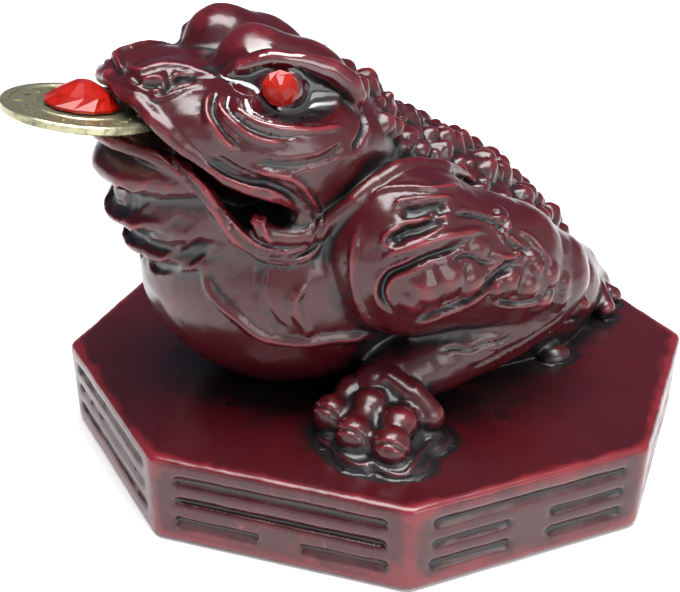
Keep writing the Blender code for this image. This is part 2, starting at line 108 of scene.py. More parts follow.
class Ball:
    """An ellipsoid, by its centre, its three radii and its turn about X, Y and Z in degrees."""

    def __init__(self, centre, radii, turn=(0, 0, 0)):
        self.centre = np.array(centre, float)
        self.radii = np.array(radii, float)
        self.turn = Euler([math.radians(angle) for angle in turn])
        self.axes = np.array(self.turn.to_matrix())

    def distance(self, points):
        local = (points - self.centre) @ self.axes
        near = np.linalg.norm(local / self.radii, axis=1)
        slope = np.linalg.norm(local / self.radii**2, axis=1)
        return near * (near - 1) / np.maximum(slope, 1e-6)

    def rough(self, bm):
        place = Matrix.LocRotScale(Vector(self.centre * MM), self.turn, Vector(self.radii * MM))
        bmesh.ops.create_icosphere(bm, subdivisions=3, radius=1, matrix=place)


class Limb:
    """A chain of round-ended tapering rods, by its points and the radius at each."""

    def __init__(self, points, radii):
        self.points = [np.array(point, float) for point in points]
        self.radii = radii

    def distance(self, points):
        nearest = np.full(len(points), FAR)
        for start, end, first, last in zip(self.points, self.points[1:], self.radii, self.radii[1:]):
            along = end - start
            share = np.clip((points - start) @ along / (along @ along), 0, 1)
            off_axis = np.linalg.norm(points - start - share[:, None] * along, axis=1)
            nearest = np.minimum(nearest, off_axis - first - (last - first) * share)
        return nearest

    def rough(self, bm):
        for point, radius in zip(self.points, self.radii):
            place = Matrix.Translation(Vector(point * MM))
            bmesh.ops.create_icosphere(bm, subdivisions=2, radius=radius * MM, matrix=place)
        for start, end, first, last in zip(self.points, self.points[1:], self.radii, self.radii[1:]):
            along = Vector(end - start)
            turn = along.to_track_quat("Z", "Y").to_matrix().to_4x4()
            place = Matrix.Translation(Vector((start + end) / 2 * MM)) @ turn
            bmesh.ops.create_cone(
                bm, segments=16, cap_ends=True, radius1=first * MM, radius2=last * MM,
                depth=along.length * MM, matrix=place,
            )


class Gape:
    """A gap right across the toad, by its middle line (y, z) in the side view and its half heights."""

    half_width = 32.0

    def __init__(self, middle, half_heights):
        self.middle = middle
        self.half_heights = half_heights
        self.section = Limb([(0, y, z) for y, z in middle], half_heights)

    def distance(self, points):
        return self.section.distance(points * np.array([0.0, 1.0, 1.0]))

    def rough(self, bm):
        outline = [(y, z + half) for (y, z), half in zip(self.middle, self.half_heights)]
        outline += [(y, z - half) for (y, z), half in zip(self.middle[::-1], self.half_heights[::-1])]
        corners = [bm.verts.new((-self.half_width * MM, y * MM, z * MM)) for y, z in outline]
        side = bm.faces.new(corners)
        swept = bmesh.ops.extrude_face_region(bm, geom=[side])
        across = Vector((2 * self.half_width * MM, 0, 0))
        moved = [part for part in swept["geom"] if isinstance(part, bmesh.types.BMVert)]
        bmesh.ops.translate(bm, verts=moved, vec=across)


def melted(a, b, blend):
    """The smaller of two distances, with the crease between them filled over the blend width."""
    share = np.clip(0.5 + 0.5 * (b - a) / blend, 0, 1)
    return b + (a - b) * share - blend * share * (1 - share)


class Form:
    """Masses added and cut away in order on the +X side and mirrored, as one signed distance."""

    def __init__(self):
        self.steps = []

    def add(self, blend, *shapes):
        self.steps += [("UNION", blend, shape) for shape in shapes]

    def cut(self, blend, *shapes):
        self.steps += [("DIFFERENCE", blend, shape) for shape in shapes]

    def distance(self, points):
        folded = np.column_stack([np.abs(points[:, 0]), points[:, 1:]])
        total = np.full(len(points), FAR)
        for action, blend, shape in self.steps:
            near = shape.distance(folded)
            total = melted(total, near, blend) if action == "UNION" else -melted(-total, near, blend)
        return total

    def slope(self, points, here, step=0.05):
        """The direction in which the distance grows fastest, from the distance here."""
        ahead = [self.distance(points + shift) - here for shift in np.eye(3) * step]
        slope = np.column_stack(ahead)
        return slope / np.maximum(np.linalg.norm(slope, axis=1), 1e-9)[:, None]

    def settle(self, points, rounds=6, most=0.8):
        """Moves points that lie near the surface onto it."""
        for _ in range(rounds):
            here = self.distance(points)
            points = points - np.clip(here, -most, most)[:, None] * self.slope(points, here)
        return points

    def met_by(self, starts, heading, rounds=60):
        """Where straight rays from outside meet the surface."""
        points = starts.copy()
        for _ in range(rounds):
            points += self.distance(points)[:, None] * heading * 0.9
        return points


# The lips from the front of the mouth to the jaw corner, and the cord of skin from there over the shoulder
UPPER_LIP = (
    (0, -46.2, 67.2), (4.5, -45.8, 66.4), (8.2, -44.7, 65.6), (11, -43.5, 64), (13.4, -42, 62.3),
    (14.9, -40.4, 60.6), (16.2, -38, 58.6), (17.7, -35.3, 56.3), (19.6, -32.7, 55), (20.9, -29.7, 54),
    (21, -27.3, 52.4),
)
LOWER_LIP = (
    (0, -48.4, 59.2), (4.5, -47.2, 58.8), (9, -43.8, 57.9), (13.4, -40.2, 56.4), (15.3, -37.8, 53.8),
    (16.2, -35.6, 50), (17.3, -33.4, 46.8), (18.6, -30, 44.6), (19.9, -26.9, 44), (20.4, -24.6, 45),
)
LIP_RADIUS = 1.2
ROPE = (
    (18.6, -31.2, 49.2), (18.8, -30, 47.6), (19.4, -28.4, 46.8), (20.2, -25.4, 46.3), (20.8, -22, 47),
    (21.4, -19.8, 48.9), (22.6, -17, 51.4), (22.4, -13.4, 53.6), (21.4, -9.6, 54.7), (20.6, -5, 54.4),
    (19, -0.5, 52.8), (16.4, 4, 50.6), (14, 8.6, 48),
)
ROPE_RADIUS = 1.5

# The front foot's toes: knuckle and tip
TOES = (
    ((23.6, -17, 19.8), (25.8, -21.8, 18)),
    ((28.9, -16.6, 20), (32.2, -21, 17.7)),
    ((34.2, -14.6, 19.4), (37.4, -17.5, 17.5)),
)


def toad_body():
    """Torso, belly, throat, head, brows and the three legs."""
    form = Form()
    form.add(1.0, Ball((0, 6, 31), (22, 39, 20), (-35, 0, 0)))
    form.add(5.0, Ball((0, -17.5, 35), (24, 24.5, 21)))

    # Throat, with three hanging folds
    form.add(3.0, Ball((0, -21, 48), (20.5, 25, 12)))
    form.add(1.5, Ball((0, -29, 55), (17.5, 20.3, 5.6), (4, 0, 0)))
    form.add(1.2, Ball((0, -28, 47.3), (17, 19.6, 4), (4, 0, 0)))
    form.add(1.2, Ball((0, -27, 41.4), (16.5, 18, 4), (2, 0, 0)))

    # Skull, upper jaw, nostril, cheek and brow
    form.add(3.0, Ball((0, -20, 56), (20.5, 15, 12)))
    form.add(3.0, Ball((0, -24, 59), (22, 23.5, 9.5), (-12, 0, 0)))
    form.add(2.0, Ball((3.6, -38.7, 65.5), (5.8, 7.8, 4.5), (-4, 0, 10)))
    form.add(3.0, Ball((14.5, -23.5, 56), (7.5, 11, 8.5), (0, 0, 12)))
    form.add(1.5, Ball((6.4, -26, 67.6), (6.4, 6.3, 7.2)))
    form.add(2.5, Ball((7.6, -20.4, 65), (7.6, 9.6, 7.6), (-14, 0, 0)))

    # Front leg: shoulder, upper leg back to the knee, lower leg forward to the ankle
    form.add(1.5, Ball((22, -8, 42), (11.5, 13, 13)))
    form.add(2.0, Limb([(22, -6, 41), (24.5, 8, 38), (24.8, 15.8, 34.6)], (12.5, 10, 7.6)))
    shin = [(24.5, 13, 31), (25.2, 4, 26.5), (25.2, -4, 23.6), (24.5, -13, 20)]
    form.add(1.5, Limb(shin, (7.4, 6.3, 5.6, 4.6)))

    # Rump and the single hind leg
    form.add(3.0, Ball((0, 34, 20), (12, 9, 9)))
    form.add(2.0, Limb([(0, 40, 20.5), (0, 44, 17)], (5, 4)))
    return form


def mouth(form):
    """The gape from the snout to the jaw corners, its filled middle, lips, the coin's seat and the tongue."""
    middle = [(-60, 64), (-48, 64), (-40, 59), (-36.4, 54.4), (-33.6, 51.4), (-30, 49.8), (-26.5, 49.4)]
    form.cut(0.8, Gape(middle, [5, 4.2, 1.6, 2.1, 2.8, 2.8, 1.2]))
    form.add(0.8, Ball((0, -17, 53), (12.5, 20, 12)))
    for line in (UPPER_LIP, LOWER_LIP):
        form.add(0.7, Limb(line, [LIP_RADIUS] * (len(line) - 1) + [0.5 * LIP_RADIUS]))
    form.cut(0.5, Ball(COIN_CENTRE, (13.2, 13.2, 2.1), (COIN_PITCH, 0, 0)))
    form.add(0.8, Ball((0, -37, 58.2), (10, 9, 2.4)))


def rope(form):
    """The smooth cord of skin from the jaw corner over the shoulder."""
    form.add(0.5, Limb(ROPE, [0.9] + [ROPE_RADIUS] * (len(ROPE) - 3) + [1.1, 0.6]))


def eyes(form):
    """A hollow under the brow, the eyeball in it, the arched lid over it and the seat of the stone."""
    looks = unit(EYE_LOOKS)
    centre = np.array(EYE_CENTRE)
    turn = Vector(looks).to_track_quat("X", "Z").to_euler()
    turn = [math.degrees(angle) for angle in turn]
    form.cut(1.0, Ball((18.8, -23.2, 66.9), (5, 9, 3.9), (-6, 0, 0)))
    form.add(0.8, Ball(centre - 4.6 * looks, (4.4, 4.4, 4.4)))
    lid = [(8.5, -31.8, 68), (11, -30, 70.1), (13, -26, 71.4), (14.2, -22, 71), (15, -17.6, 69.2),
           (15.4, -14.6, 67), (15.5, -13.6, 65), (15.2, -14, 62.4)]
    form.add(1.0, Limb(lid, (0.7, 1.0, 1.2, 1.4, 1.7, 1.8, 1.6, 1.0)))
    seat = EYE_STONE_ACROSS / 2 + CLEARANCE
    form.cut(0.3, Ball(centre, (1.5, seat + 0.25, seat + 0.25), turn))


def feet(form):
    """Both front feet on their webs, and the hind foot."""
    for x, y, radius in ((28, -19.5, 5.6), (34, -20, 5.2), (37.6, -16, 4.8), (33, -10.5, 5.4)):
        form.add(0.8, Ball((x, y, BASE_HEIGHT), (radius, radius, 1.5)))
    form.add(1.5, Ball((29, -15.5, 16.5), (8, 6.5, 4)))
    for knuckle, tip in TOES:
        form.add(0.5, Limb([knuckle, tip], (2.2, 2.4)))
        form.add(0.3, Ball(knuckle, (2.9, 2.9, 2.7)), Ball(tip, (2.9, 3, 3.2)))
    form.add(0.7, Limb([(27.4, -12.4, 23), (30.6, -10.6, 21.2), (33.6, -9, 19)], (1.7, 2.4, 2.3)))
    for tip in ((9.5, 41, 16.4), (5.2, 45.6, 16.4), (0, 47, 16.4)):
        form.add(0.7, Limb([(tip[0] * 0.4, 42, 18.5), tip], (2.2, 1.9)))
    form.add(0.7, Ball((18.5, 24, BASE_HEIGHT), (2.8, 3.2, 2.4)))


def whole_toad():
    form = toad_body()
    mouth(form)
    rope(form)
    eyes(form)
    feet(form)
    return form


# Carved strokes as the picture shows them: height (below zero for a groove), half width, and the places in
# the picture that the stroke runs through, in dots from its upper left corner
HEAD_STROKES = (
    (0.7, 0.8, ((107, 72), (123, 73), (140, 72), (158, 67), (175, 66), (192, 70), (205, 75), (217, 76))),
    (-0.7, 0.7, ((133, 78), (142, 84), (154, 86), (165, 82), (170, 76), (167, 70))),
    (0.6, 0.7, ((138, 88), (147, 80), (158, 79), (165, 84), (160, 91), (150, 92))),
    (-1.2, 1, ((160, 93), (168, 86), (177, 81), (188, 79), (197, 79))),
    (0.5, 0.6, ((150, 98), (166, 98), (182, 92), (196, 87), (205, 86))),
    (0.7, 0.7, ((211, 92), (207, 104), (207, 115), (213, 127), (224, 141), (238, 152))),
    (-0.7, 0.5, ((216, 92), (212, 104), (213, 114), (219, 125), (229, 138), (243, 148))),
    (0.7, 0.7, ((222, 95), (220, 107), (226, 117), (238, 128), (252, 137), (268, 142), (286, 142))),
    (-0.7, 0.5, ((228, 97), (227, 107), (234, 116), (246, 125), (262, 133), (280, 137), (296, 137))),
    (0.7, 0.7, ((236, 101), (239, 110), (250, 119), (267, 126), (290, 130), (316, 131), (342, 127))),
    (-0.7, 0.5, ((244, 101), (248, 110), (258, 117), (274, 122), (294, 125), (314, 125))),
    (-0.7, 0.8, ((205, 158), (226, 172), (249, 181), (272, 185), (290, 194), (302, 206))),
    (-0.4, 1, ((216, 158), (236, 170), (258, 178), (280, 182))),
    (-0.4, 1, ((250, 160), (275, 165), (300, 165), (325, 158), (345, 145))),
    (0.7, 0.8, ((255, 170), (272, 174), (290, 178), (303, 187), (312, 199), (317, 210))),
    (0.6, 0.8, ((133, 140), (171, 155), (192, 170), (207, 194), (223, 223), (242, 246), (263, 258),
           (287, 262), (308, 257), (320, 243), (324, 233))),
    (-0.6, 0.5, ((100, 137), (130, 141), (155, 149), (178, 168), (199, 192), (219, 212), (236, 233),
           (253, 247), (272, 253), (292, 254), (310, 250), (322, 240))),
    (0.5, 0.6, ((225, 216), (238, 231), (252, 243), (270, 251), (291, 253), (306, 246), (313, 238))),
    (-0.5, 0.45, ((298, 190), (309, 201), (315, 214), (314, 228), (305, 240))),
    (-0.5, 0.45, ((306, 188), (318, 201), (324, 214), (323, 227), (314, 240))),
    (0.5, 0.6, ((259, 211), (262, 224), (267, 236), (276, 246))),
    (-0.6, 0.9, ((352, 150), (360, 138), (364, 124), (362, 108))),
)
CHEST_STROKES = (
    (-0.5, 1.5, ((98, 193), (112, 206), (132, 203), (151, 194), (164, 183))),
    (-0.6, 1.5, ((118, 231), (136, 238), (164, 235), (182, 224), (194, 212))),
    (-0.5, 1.5, ((140, 253), (155, 264), (177, 262), (197, 250), (208, 240))),
    (0.9, 1.2, ((203, 266), (208, 286), (220, 303), (238, 318), (256, 333), (275, 340), (303, 342),
           (340, 338), (375, 334))),
    (0.6, 1.1, ((307, 284), (296, 297), (295, 310), (302, 323), (310, 336))),
    (-0.3, 1.2, ((263, 262), (259, 280), (261, 300), (270, 318), (284, 333))),
)
LEG_STROKES = (
    (0.7, 1, ((357, 225), (355, 245), (354, 265), (354, 285), (358, 301), (367, 316), (378, 325))),
    (-1.1, 1.3, ((401, 211), (412, 212), (426, 210), (440, 208), (447, 206))),
    (0.6, 0.6, ((394, 209), (399, 202), (412, 199), (432, 198), (452, 199))),
    (-1.2, 1.2, ((393, 242), (398, 238), (407, 232), (421, 229), (434, 222), (444, 218))),
    (0.7, 0.6, ((404, 227), (391, 231), (383, 240), (388, 248), (400, 248), (412, 243), (430, 236),
           (442, 229))),
    (0.9, 1.1, ((384, 262), (391, 254), (403, 250), (423, 244), (443, 238), (463, 234), (484, 231))),
    (-1, 0.8, ((391, 312), (382, 298), (383, 284), (391, 274), (407, 267), (423, 259), (443, 252),
           (462, 245))),
    (0.6, 0.8, ((372, 196), (384, 190), (404, 187), (434, 189), (460, 187))),
    (-1.2, 1.1, ((415, 321), (438, 312), (462, 302), (482, 289), (498, 273), (515, 264))),
    (-0.9, 0.8, ((498, 300), (512, 304), (526, 303), (541, 297), (552, 286))),
    (0.7, 0.7, ((492, 226), (497, 219), (505, 220), (508, 227), (503, 234), (512, 240), (519, 247),
           (515, 256), (503, 257), (492, 252))),
    (-0.7, 0.6, ((455, 262), (464, 256), (474, 257), (482, 263), (492, 262))),
    (0.6, 0.7, ((520, 232), (530, 237), (539, 246), (546, 257), (550, 268))),
    (-0.9, 0.8, ((515, 262), (502, 268), (493, 280), (478, 290))),
    (-0.8, 0.7, ((455, 214), (475, 216), (495, 223), (506, 237), (515, 246), (530, 252))),
    (-0.5, 0.5, ((498, 363), (512, 357), (527, 348), (541, 340), (555, 331), (569, 320), (580, 309))),
    (-0.6, 0.5, ((470, 368), (490, 359), (507, 350), (522, 342), (537, 333), (551, 324), (564, 312))),
    (-0.4, 0.6, ((440, 352), (455, 348), (470, 350), (484, 344), (500, 342), (515, 333))),
    (0.5, 0.6, ((313, 435), (330, 447), (348, 461), (361, 466), (372, 464), (387, 473), (402, 476),
           (411, 469), (424, 449), (441, 434))),
)
STROKES = HEAD_STROKES + CHEST_STROKES + LEG_STROKES
WALL_WIDTH = 0.7

# Knobs on the knee and the upper leg: place in the picture, radius and height
KNOBS = (
    ((510, 283), 2.3, 1), ((527, 287), 2.2, 0.9), ((553, 276), 2.4, 0.9), ((545, 302), 2.5, 1),
    ((498, 290), 1.5, 0.7), ((471, 284), 3, 1.2), ((449, 281), 3.4, 1.3), ((428, 291), 3.2, 1.1),
    ((414, 303), 2.4, 0.8), ((538, 268), 1.6, 0.7), ((560, 300), 2, 0.8), ((533, 258), 1.5, 0.6),
    ((480, 246), 2.2, 0.7), ((566, 284), 1.8, 0.7), ((500, 212), 1.6, 0.6),
)

# Warts of the back: rows from the nape to the rump, with greater and lesser warts in turn
WART_ROWS = 15
WARTS_TO_A_SIDE = 5
WART_RADIUS = 2.5
WART_HEIGHT = 1.9
WART_GAP = 3.5
BACK_START = -9.0
BACK_END = 34.0


def smooth_run(points, spacing=0.6):
    """Evenly close points on a smooth curve through the given ones."""
    points = [np.array(point, float) for point in points]
    ends = [2 * points[0] - points[1]] + points + [2 * points[-1] - points[-2]]
    run = []
    for before, start, end, after in zip(ends, ends[1:], ends[2:], ends[3:]):
        count = max(2, round(np.linalg.norm(end - start) / spacing))
        for t in np.arange(count) / count:
            bend = 2 * start + (end - before) * t
            bend = bend + (2 * before - 5 * start + 4 * end - after) * t**2
            run.append((bend + (3 * start - before - 3 * end + after) * t**3) / 2)
    return np.array(run + [points[-1]])


def seen_at(form, places):
    """Where sight lines through places in the picture first meet the toad or the level of the base's top."""
    aside, down = (np.array(places, float) - (PICTURE_WIDTH / 2, PICTURE_HEIGHT / 2)).T
    right, up = unit(CAMERA_RIGHT), unit(CAMERA_UP)
    sight = aside[:, None] * right - down[:, None] * up + LENS / SENSOR * PICTURE_WIDTH * np.cross(up, right)
    sight /= np.linalg.norm(sight, axis=1)[:, None]
    points = np.array(CAMERA_PLACE) + CLEAR_OF_TOAD * sight
    for _ in range(150):
        free = np.minimum(form.distance(points), points[:, 2] - BASE_HEIGHT)
        points = points + 0.7 * np.clip(free, -5, 20)[:, None] * sight
    return points


def carved_lines(form):
    """Every stroke's height, half width and points on the surface, with the creases round the toe tips."""
    met = seen_at(form, [place for _, _, line in STROKES for place in line])
    lines = []
    for height, half_width, line in STROKES:
        lines.append((height, half_width, form.settle(smooth_run(met[:len(line)]))))
        met = met[len(line):]
    for knuckle, tip in TOES:
        along = unit(np.array(tip) - knuckle)
        across = unit(np.cross(along, (0, 0, 1)))
        turns = np.linspace(0, 2 * math.pi, 40)[:, None]
        ring = np.cos(turns) * across + np.sin(turns) * np.cross(along, across)
        lines.append((-0.5, 0.5, form.settle(np.array(tip) + 1.1 * along + 2.6 * ring)))
    return lines


def wart_places(form):
    """Centre and size of each wart, in rows that are set off from each other."""
    flat = []
    sizes = []
    for row in range(WART_ROWS):
        y = BACK_START + (BACK_END - BACK_START) * row / (WART_ROWS - 1)
        for place in range(WARTS_TO_A_SIDE):
            x = WART_GAP * (place + 0.5 * (row % 2)) + 1.3 * math.sin(2.3 * row + 1.7 * place)
            sizes.append(0.78 + 0.34 * math.sin(3.7 * row + 2.2 * place + 1.1 * row * place))
            flat.append((max(x, 0), y + 1.3 * math.cos(1.9 * row + 2.9 * place)))
    starts = np.column_stack([np.array(flat), np.full(len(flat), 82.0)])
    return form.met_by(starts, np.array([0, 0, -1.0])), sizes


def near_run(points, run, reach):
    """Which points lie within reach of a run of points, and how far from it they are."""
    low, high = run.min(axis=0) - reach, run.max(axis=0) + reach
    inside = np.flatnonzero(((points > low) & (points < high)).all(axis=1))
    chosen = points[inside]
    nearest = np.full(len(chosen), FAR)
    share = np.zeros(len(chosen))
    for index, (start, end) in enumerate(zip(run, run[1:])):
        along = end - start
        t = np.clip((chosen - start) @ along / max(along @ along, 1e-9), 0, 1)
        gap = np.linalg.norm(chosen - start - t[:, None] * along, axis=1)
        closer = gap < nearest
        nearest = np.where(closer, gap, nearest)
        share = np.where(closer, (index + t) / (len(run) - 1), share)
    return inside, nearest, share


def relief(form, points, close):
    """How far each point of the surface is raised, or sunk where below zero, by strokes, knobs and warts."""
    folded = np.column_stack([np.abs(points[:, 0]), points[:, 1:]])
    raised = np.zeros(len(points))
    sunk = np.zeros(len(points))
    for height, half_width, run in carved_lines(form):
        inside, gap, share = near_run(folded, run, half_width * 1.6)
        gap = gap / half_width
        ends = np.clip(np.minimum(share, 1 - share) * 8, 0, 1)
        rise = height * np.clip(1 - gap**2, 0, 1) ** 1.5 * (0.25 + 0.75 * ends)
        if height < 0:
            wall = np.clip((1 - gap) * half_width / WALL_WIDTH, 0, 1)
            rise = height * wall**2 * (3 - 2 * wall) * (0.15 + 0.85 * ends)
            rise = rise - 0.3 * height * np.exp(-((gap - 1.15) / 0.3) ** 2) * ends
        raised[inside] = np.maximum(raised[inside], rise)
        sunk[inside] = np.minimum(sunk[inside], rise)
    uneven = 1 + 0.35 * close
    knob_tops = seen_at(form, [place for place, _, _ in KNOBS])
    for centre, (_, radius, height) in zip(knob_tops, KNOBS):
        gap = np.linalg.norm(folded - centre, axis=1) / radius * uneven
        raised = np.maximum(raised, height * np.clip(1 - gap**2, 0, 1) ** 1.2)
    for top, size in zip(*wart_places(form)):
        gap = np.linalg.norm(folded - top, axis=1) / (WART_RADIUS * size) * uneven
        raised = np.maximum(raised, WART_HEIGHT * size * np.clip(1 - gap**2, 0, 1) ** 1.3)
    return raised + sunk


def unevenness(points, size):
    """Smooth chance lumps of about the given size, from -1 to 1."""
    return np.array([noise.noise(Vector(point / size)) for point in points])


def new_object(name, bm):
    bmesh.ops.recalc_face_normals(bm, faces=bm.faces)
    mesh = bpy.data.meshes.new(name)
    bm.to_mesh(mesh)
    bm.free()
    return linked(name, mesh)


def linked(name, mesh):
    made = bpy.data.objects.new(name, mesh)
    bpy.context.scene.collection.objects.link(made)
    return made


def add_boolean(target, operation, other, solver="EXACT"):
    modifier = target.modifiers.new(other.name, "BOOLEAN")
    modifier.operation = operation
    modifier.object = other
    modifier.solver = solver


def add_voxels(target, size):
    modifier = target.modifiers.new("voxels", "REMESH")
    modifier.mode = "VOXEL"
    modifier.voxel_size = size * MM


def rough_toad(form, voxel):
    """The masses as one close-meshed body near the true surface, with the helpers that it was made from."""
    groups = []
    for action, _, shape in form.steps:
        if not groups or groups[-1][0] != action:
            groups.append((action, []))
        groups[-1][1].append(shape)
    helpers = []
    for number, (_, shapes) in enumerate(groups):
        bm = bmesh.new()
        for shape in shapes:
            shape.rough(bm)
        helper = new_object(f"masses_{number}", bm)
        helper.modifiers.new("mirrored", "MIRROR").use_mirror_merge = False
        add_voxels(helper, FIRST_VOXEL + number * VOXEL_STEP)
        helpers.append(helper)
    for (action, _), helper in zip(groups[1:], helpers[1:]):
        add_boolean(helpers[0], action, helper, "MANIFOLD")
    add_voxels(helpers[0], voxel)
    return helpers


def evaluated_mesh(made):
    graph = bpy.context.evaluated_depsgraph_get()
    return bpy.data.meshes.new_from_object(made.evaluated_get(graph), depsgraph=graph)


def discard(*objects):
    for made in objects:
        bpy.data.objects.remove(made)


def mesh_points(mesh):
    points = np.empty(len(mesh.vertices) * 3)
    mesh.vertices.foreach_get("co", points)
    return points.reshape(-1, 3) / MM


def mesh_normals(mesh):
    normals = np.empty(len(mesh.vertices) * 3)
    mesh.vertex_normals.foreach_get("vector", normals)
    return normals.reshape(-1, 3)


def triangle_count(mesh):
    mesh.calc_loop_triangles()
    return len(mesh.loop_triangles)


def thinned(made, triangles):
    modifier = made.modifiers.new("thinned", "DECIMATE")
    modifier.ratio = min(1.0, triangles / triangle_count(made.data))
    mesh = evaluated_mesh(made)
    made.modifiers.clear()
    made.data = mesh


def neighbours(mesh):
    """The two ends of each edge, each way round."""
    edges = np.empty(len(mesh.edges) * 2, np.int32)
    mesh.edges.foreach_get("vertices", edges)
    edges = edges.reshape(-1, 2)
    return np.concatenate([edges[:, 0], edges[:, 1]]), np.concatenate([edges[:, 1], edges[:, 0]])


def averaged(points, ends, rounds):
    """Each point moved to the mean of its neighbours and itself, several times over."""
    here, there = ends
    number = np.bincount(here, minlength=len(points)) + 1.0
    for _ in range(rounds):
        near = [np.bincount(here, points[there, axis], len(points)) for axis in range(3)]
        points = (points + np.column_stack(near)) / number[:, None]
    return points


def spread(form, mesh, points):
    """Brings the mesh's points onto the form, evenly spread over it."""
    ends = neighbours(mesh)
    for _ in range(3):
        points = form.settle(averaged(points, ends, 1), rounds=2)
    return points


def sculpted_toad(form):
    """The rough body with its points brought onto the form, carved, and evened out in tight creases."""
    helpers = rough_toad(form, VOXEL)
    mesh = evaluated_mesh(helpers[0])
    discard(*helpers)
    points = spread(form, mesh, mesh_points(mesh))
    outward = form.slope(points, form.distance(points))
    close = unevenness(points, 1.6)
    above = np.clip((points[:, 2] - BASE_HEIGHT - 0.2) / 1.5, 0, 1)
    rise = relief(form, points, close) + (0.25 * unevenness(points, 5) + 0.08 * close) * above
    tight = np.clip(1.2 - form.distance(points + 1.5 * outward), 0, 1)[:, None]
    points = points + rise[:, None] * outward
    points += tight * (averaged(points, neighbours(mesh), 8) - points)
    mesh.vertices.foreach_set("co", (points * MM).ravel())
    mesh.update()
    return linked("toad", mesh)


# The eight trigrams by side, from the front round by the toad's left. Each has three lines from the top
# down, 1 for a whole line and 0 for a broken one.
TRIGRAMS = ((1, 1, 1), (1, 1, 0), (1, 0, 0), (0, 1, 0), (0, 0, 0), (0, 0, 1), (1, 0, 1), (0, 1, 1))


def base_block():
    bm = bmesh.new()
    half_turn = Matrix.Rotation(math.pi / BASE_SIDES, 4, "Z")
    lift = Matrix.Translation((0, 0, BASE_HEIGHT / 2 * MM))
    corner = BASE_ACROSS_CORNERS / 2 * MM
    bmesh.ops.create_cone(
        bm, segments=BASE_SIDES, cap_ends=True, radius1=corner - BASE_SHRINK * MM, radius2=corner,
        depth=BASE_HEIGHT * MM, matrix=lift @ half_turn,
    )
    bmesh.ops.bevel(
        bm, geom=bm.edges[:], offset=BASE_ROUNDING * MM, segments=4, profile=0.5, affect="EDGES", material=-1,
    )
    return bm


def groove_bars(side):
    """The bars that cut one side's trigram, as boxes with their outer half outside the block."""
    angle = -math.pi / 2 + side * 2 * math.pi / BASE_SIDES
    flat = BASE_ACROSS_CORNERS / 2 * math.cos(math.pi / BASE_SIDES)
    bm = bmesh.new()
    for whole, level in zip(TRIGRAMS[side], GROOVE_LEVELS):
        inset = BASE_SHRINK * (1 - level / BASE_HEIGHT)
        half = GROOVE_LENGTH / 2
        runs = [(-half, half)] if whole else [(-half, -GROOVE_GAP / 2), (GROOVE_GAP / 2, half)]
        for start, end in runs:
            size = Matrix.Diagonal((2 * GROOVE_DEPTH * MM, (end - start) * MM, GROOVE_HEIGHT * MM, 1))
            place = Matrix.Translation(((flat - inset) * MM, (start + end) / 2 * MM, level * MM))
            bmesh.ops.create_cube(bm, size=1, matrix=Matrix.Rotation(angle, 4, "Z") @ place @ size)
    return bm


def grooved_base():
    base = new_object("base", base_block())
    bars = [new_object(f"trigram_{side}", groove_bars(side)) for side in range(BASE_SIDES)]
    for bar in bars:
        add_boolean(base, "DIFFERENCE", bar)
    add_voxels(base, 0.55)
    mesh = evaluated_mesh(base)
    discard(base, *bars)
    points = mesh_points(mesh)
    normals = mesh_normals(mesh)
    lift = np.clip(points[:, 2] / 2, 0, 1)
    rise = (0.12 * unevenness(points, 5) + 0.04 * unevenness(points, 1.6)) * lift
    mesh.vertices.foreach_set("co", ((points + rise[:, None] * normals) * MM).ravel())
    mesh.update()
    return linked("base", mesh)


def casting():
    """The toad and its base in one piece."""
    form = whole_toad()
    toad = sculpted_toad(form)
    thinned(toad, CASTING_TRIANGLES * 0.8)
    base = grooved_base()
    thinned(base, CASTING_TRIANGLES * 0.18)
    add_boolean(base, "UNION", toad, "MANIFOLD")
    mesh = evaluated_mesh(base)
    discard(base, toad)
    made = linked("casting", mesh)
    mesh.shade_smooth()
    mark_wash_wear_and_shade(form, mesh)
    return made


def store(mesh, name, values):
    layer = mesh.attributes.new(name, "FLOAT", "POINT")
    layer.data.foreach_set("value", values.astype(np.float32))


def mark_wash_wear_and_shade(form, mesh):
    """Marks where black stays in the hollows, where the ridges are rubbed bright, where glue shines, and
    where painted shade falls under and between parts.
    """
    points = mesh_points(mesh)
    normals = mesh_normals(mesh)
    ends = neighbours(mesh)
    count = len(points)
    here, there = ends
    spacing = np.linalg.norm(points[here] - points[there], axis=1).mean()
    hollow = np.zeros(count)
    smooth = points
    for width, weight in ((0.6, 2.4), (1.6, 1.6), (4.0, 0.6)):
        before = smooth
        smooth = averaged(smooth, ends, max(1, round(2.0 * (width / spacing) ** 2)))
        hollow += weight / width * np.einsum("ij,ij->i", smooth - before, normals)
    # Painted shade: darker where there is little open space 1.5, 4 and 9 mm off the surface, under and
    # between parts.
    shade = np.zeros(count)
    for reach, weight in ((1.5, 0.3), (4.0, 0.35), (9.0, 0.35)):
        out = points + reach * normals
        over_base = np.where(points[:, 2] > BASE_HEIGHT - 1, out[:, 2] - BASE_HEIGHT, reach)
        space = np.minimum(form.distance(out), over_base)
        shade += weight * np.clip(1 - space / reach, 0, 1)
    # Darker still in a thin pool where the feet meet the base, added to the same mark.
    foot_level = np.clip((BASE_HEIGHT + 2.2 - points[:, 2]) / 0.6, 0, 1) * (points[:, 2] > BASE_HEIGHT - 0.3)
    shade += 0.7 * foot_level * np.clip(1.2 - np.maximum(form.distance(points), 0), 0, 1)
    store(mesh, "hollow", hollow)
    store(mesh, "shade", shade)
    eye = np.array(EYE_CENTRE)
    folded = np.column_stack([np.abs(points[:, 0]), points[:, 1:]])
    glue = np.clip(1.25 - np.linalg.norm((folded - eye) / np.array([9, 8.5, 5.5]), axis=1), 0, 1) * 3
    store(mesh, "glue", np.clip(glue, 0, 1))


